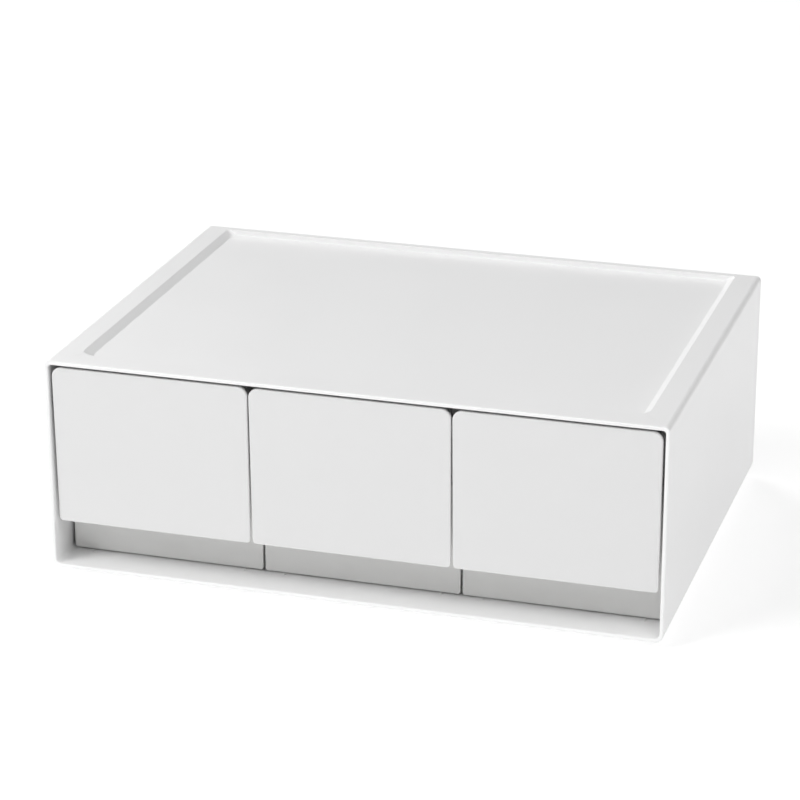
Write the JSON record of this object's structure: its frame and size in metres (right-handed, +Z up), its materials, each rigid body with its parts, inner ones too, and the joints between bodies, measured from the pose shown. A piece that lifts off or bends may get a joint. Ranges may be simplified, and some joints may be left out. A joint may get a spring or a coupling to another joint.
{
  "type": "stackable drawer box",
  "caption": "Low white drawer box with side-by-side sliding drawers, hidden finger pulls under their front panels, and a stacking recess in its top.",
  "frame": {"origin": "on the surface that the feet stand on, under the middle of the box", "axes": "+X to the right seen from the front, +Y from the drawer fronts to the back, +Z up"},
  "size_m": [0.27, 0.1992, 0.0981],
  "materials": {
    "case_plastic": "fine satin moulded ABS, white",
    "front_plastic": "fine satin moulded ABS, white",
    "tray_plastic": "satin moulded polypropylene, white",
    "foot_rubber": "soft matte rubber, pale grey"
  },
  "bodies": {
    "case": {"case_shell": "case_plastic", "back_panel": "case_plastic", "divider_left": "case_plastic", "divider_right": "case_plastic", "foot_front_left": "foot_rubber", "foot_front_right": "foot_rubber", "foot_back_left": "foot_rubber", "foot_back_right": "foot_rubber"},
    "drawer_left": {"drawer_left_tray": "tray_plastic", "drawer_left_front": "front_plastic"},
    "drawer_middle": {"drawer_middle_tray": "tray_plastic", "drawer_middle_front": "front_plastic"},
    "drawer_right": {"drawer_right_tray": "tray_plastic", "drawer_right_front": "front_plastic"}
  },
  "joints": [
    {"name": "drawer_left_slide", "type": "slide", "parent": "case", "child": "drawer_left", "axis": [0, -1, 0], "range_m": [0, 0.14]},
    {"name": "drawer_middle_slide", "type": "slide", "parent": "case", "child": "drawer_middle", "axis": [0, -1, 0], "range_m": [0, 0.14]},
    {"name": "drawer_right_slide", "type": "slide", "parent": "case", "child": "drawer_right", "axis": [0, -1, 0], "range_m": [0, 0.14]}
  ]
}
